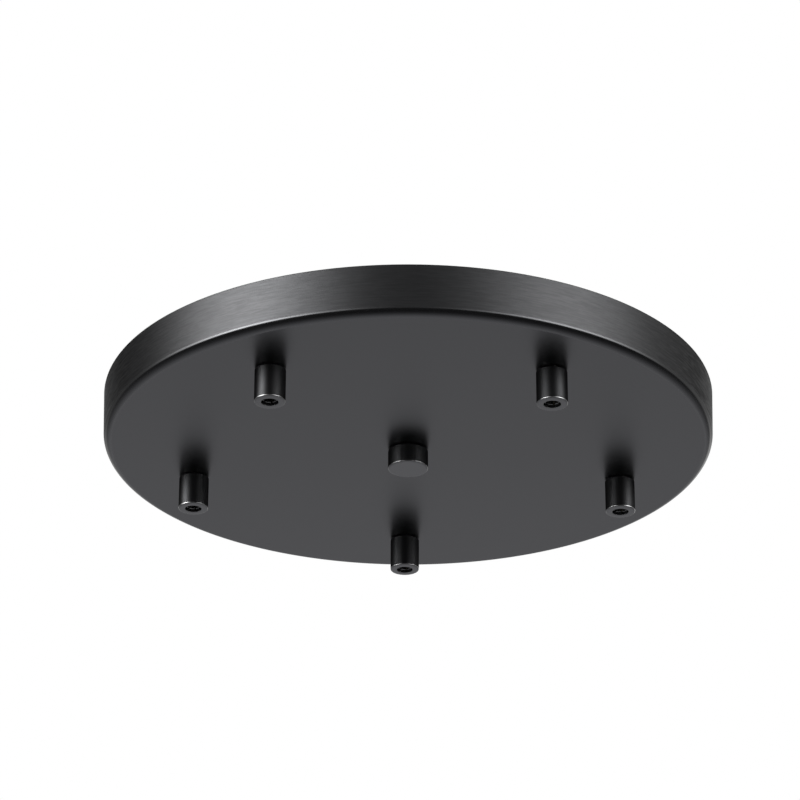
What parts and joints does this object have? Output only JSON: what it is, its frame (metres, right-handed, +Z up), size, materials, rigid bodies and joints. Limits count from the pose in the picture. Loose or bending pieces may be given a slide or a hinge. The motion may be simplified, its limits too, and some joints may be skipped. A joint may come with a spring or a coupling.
{
  "type": "light fixture ceiling canopy",
  "caption": "Round satin black steel ceiling canopy with turned cord grips on its face and a plain cap nut on a centre stud, hung on a crossbar.",
  "frame": {"origin": "centre of the ceiling plane, on the axis of the centre stud", "axes": "+Z up into the ceiling, +X along the crossbar, +Y towards the first cord grip"},
  "size_m": [0.3048, 0.3048, 0.0429],
  "materials": {
    "satin_black_steel": "satin black over fine brushing",
    "satin_black_turned_metal": "satin black over turned metal",
    "black_nylon": "moulded, slight gloss",
    "zinc_plated_steel": "bright zinc plating",
    "zinc_plated_thread": "zinc plated thread",
    "green_ground_screw": "green dyed zinc plating"
  },
  "bodies": {
    "bracket": {"crossbar": "zinc_plated_steel", "centre_stud": "zinc_plated_thread", "stud_lock_nut": "zinc_plated_steel", "ground_screw": "green_ground_screw"},
    "canopy": {"canopy_pan": "satin_black_steel", "grip_1_stem": "zinc_plated_thread", "grip_1_washer": "zinc_plated_steel", "grip_1_nut": "zinc_plated_steel", "grip_2_stem": "zinc_plated_thread", "grip_2_washer": "zinc_plated_steel", "grip_2_nut": "zinc_plated_steel", "grip_3_stem": "zinc_plated_thread", "grip_3_washer": "zinc_plated_steel", "grip_3_nut": "zinc_plated_steel", "grip_4_stem": "zinc_plated_thread", "grip_4_washer": "zinc_plated_steel", "grip_4_nut": "zinc_plated_steel", "grip_5_stem": "zinc_plated_thread", "grip_5_washer": "zinc_plated_steel", "grip_5_nut": "zinc_plated_steel"},
    "cap": {"cap_nut": "satin_black_turned_metal"},
    "grip_1_clamp": {"grip_1_collet": "black_nylon"},
    "grip_1_cover": {"grip_1_sleeve": "satin_black_turned_metal"},
    "grip_2_clamp": {"grip_2_collet": "black_nylon"},
    "grip_2_cover": {"grip_2_sleeve": "satin_black_turned_metal"},
    "grip_3_clamp": {"grip_3_collet": "black_nylon"},
    "grip_3_cover": {"grip_3_sleeve": "satin_black_turned_metal"},
    "grip_4_clamp": {"grip_4_collet": "black_nylon"},
    "grip_4_cover": {"grip_4_sleeve": "satin_black_turned_metal"},
    "grip_5_clamp": {"grip_5_collet": "black_nylon"},
    "grip_5_cover": {"grip_5_sleeve": "satin_black_turned_metal"}
  },
  "joints": [
    {"name": "canopy_drop", "type": "slide", "parent": "bracket", "child": "canopy", "axis": [0, 0, -1], "range_m": [0, 0.007]},
    {"name": "cap_nut_turn", "type": "hinge", "parent": "canopy", "child": "cap", "pos_m": [0, 0, -0.0254], "axis": [0, 0, -1], "range_deg": [0, 2521]},
    {"name": "grip_1_travel", "type": "slide", "parent": "canopy", "child": "grip_1_clamp", "axis": [0, 0, -1], "range_m": [0, 0.005]},
    {"name": "grip_1_turn", "type": "hinge", "parent": "grip_1_clamp", "child": "grip_1_cover", "pos_m": [0, 0.1138, -0.0254], "axis": [0, 0, -1], "range_deg": [0, 1800]},
    {"name": "grip_2_travel", "type": "slide", "parent": "canopy", "child": "grip_2_clamp", "axis": [0, 0, -1], "range_m": [0, 0.005]},
    {"name": "grip_2_turn", "type": "hinge", "parent": "grip_2_clamp", "child": "grip_2_cover", "pos_m": [-0.10823, 0.03517, -0.0254], "axis": [0, 0, -1], "range_deg": [0, 1800]},
    {"name": "grip_3_travel", "type": "slide", "parent": "canopy", "child": "grip_3_clamp", "axis": [0, 0, -1], "range_m": [0, 0.005]},
    {"name": "grip_3_turn", "type": "hinge", "parent": "grip_3_clamp", "child": "grip_3_cover", "pos_m": [-0.06689, -0.09207, -0.0254], "axis": [0, 0, -1], "range_deg": [0, 1800]},
    {"name": "grip_4_travel", "type": "slide", "parent": "canopy", "child": "grip_4_clamp", "axis": [0, 0, -1], "range_m": [0, 0.005]},
    {"name": "grip_4_turn", "type": "hinge", "parent": "grip_4_clamp", "child": "grip_4_cover", "pos_m": [0.06689, -0.09207, -0.0254], "axis": [0, 0, -1], "range_deg": [0, 1800]},
    {"name": "grip_5_travel", "type": "slide", "parent": "canopy", "child": "grip_5_clamp", "axis": [0, 0, -1], "range_m": [0, 0.005]},
    {"name": "grip_5_turn", "type": "hinge", "parent": "grip_5_clamp", "child": "grip_5_cover", "pos_m": [0.10823, 0.03517, -0.0254], "axis": [0, 0, -1], "range_deg": [0, 1800]}
  ],
  "couplings": [
    {"joint": "cap_nut_turn", "follows": "canopy_drop", "rad_per_m": 6283.2},
    {"joint": "grip_1_travel", "follows": "grip_1_turn", "m_per_rad": 0.00015915},
    {"joint": "grip_2_travel", "follows": "grip_2_turn", "m_per_rad": 0.00015915},
    {"joint": "grip_3_travel", "follows": "grip_3_turn", "m_per_rad": 0.00015915},
    {"joint": "grip_4_travel", "follows": "grip_4_turn", "m_per_rad": 0.00015915},
    {"joint": "grip_5_travel", "follows": "grip_5_turn", "m_per_rad": 0.00015915}
  ]
}
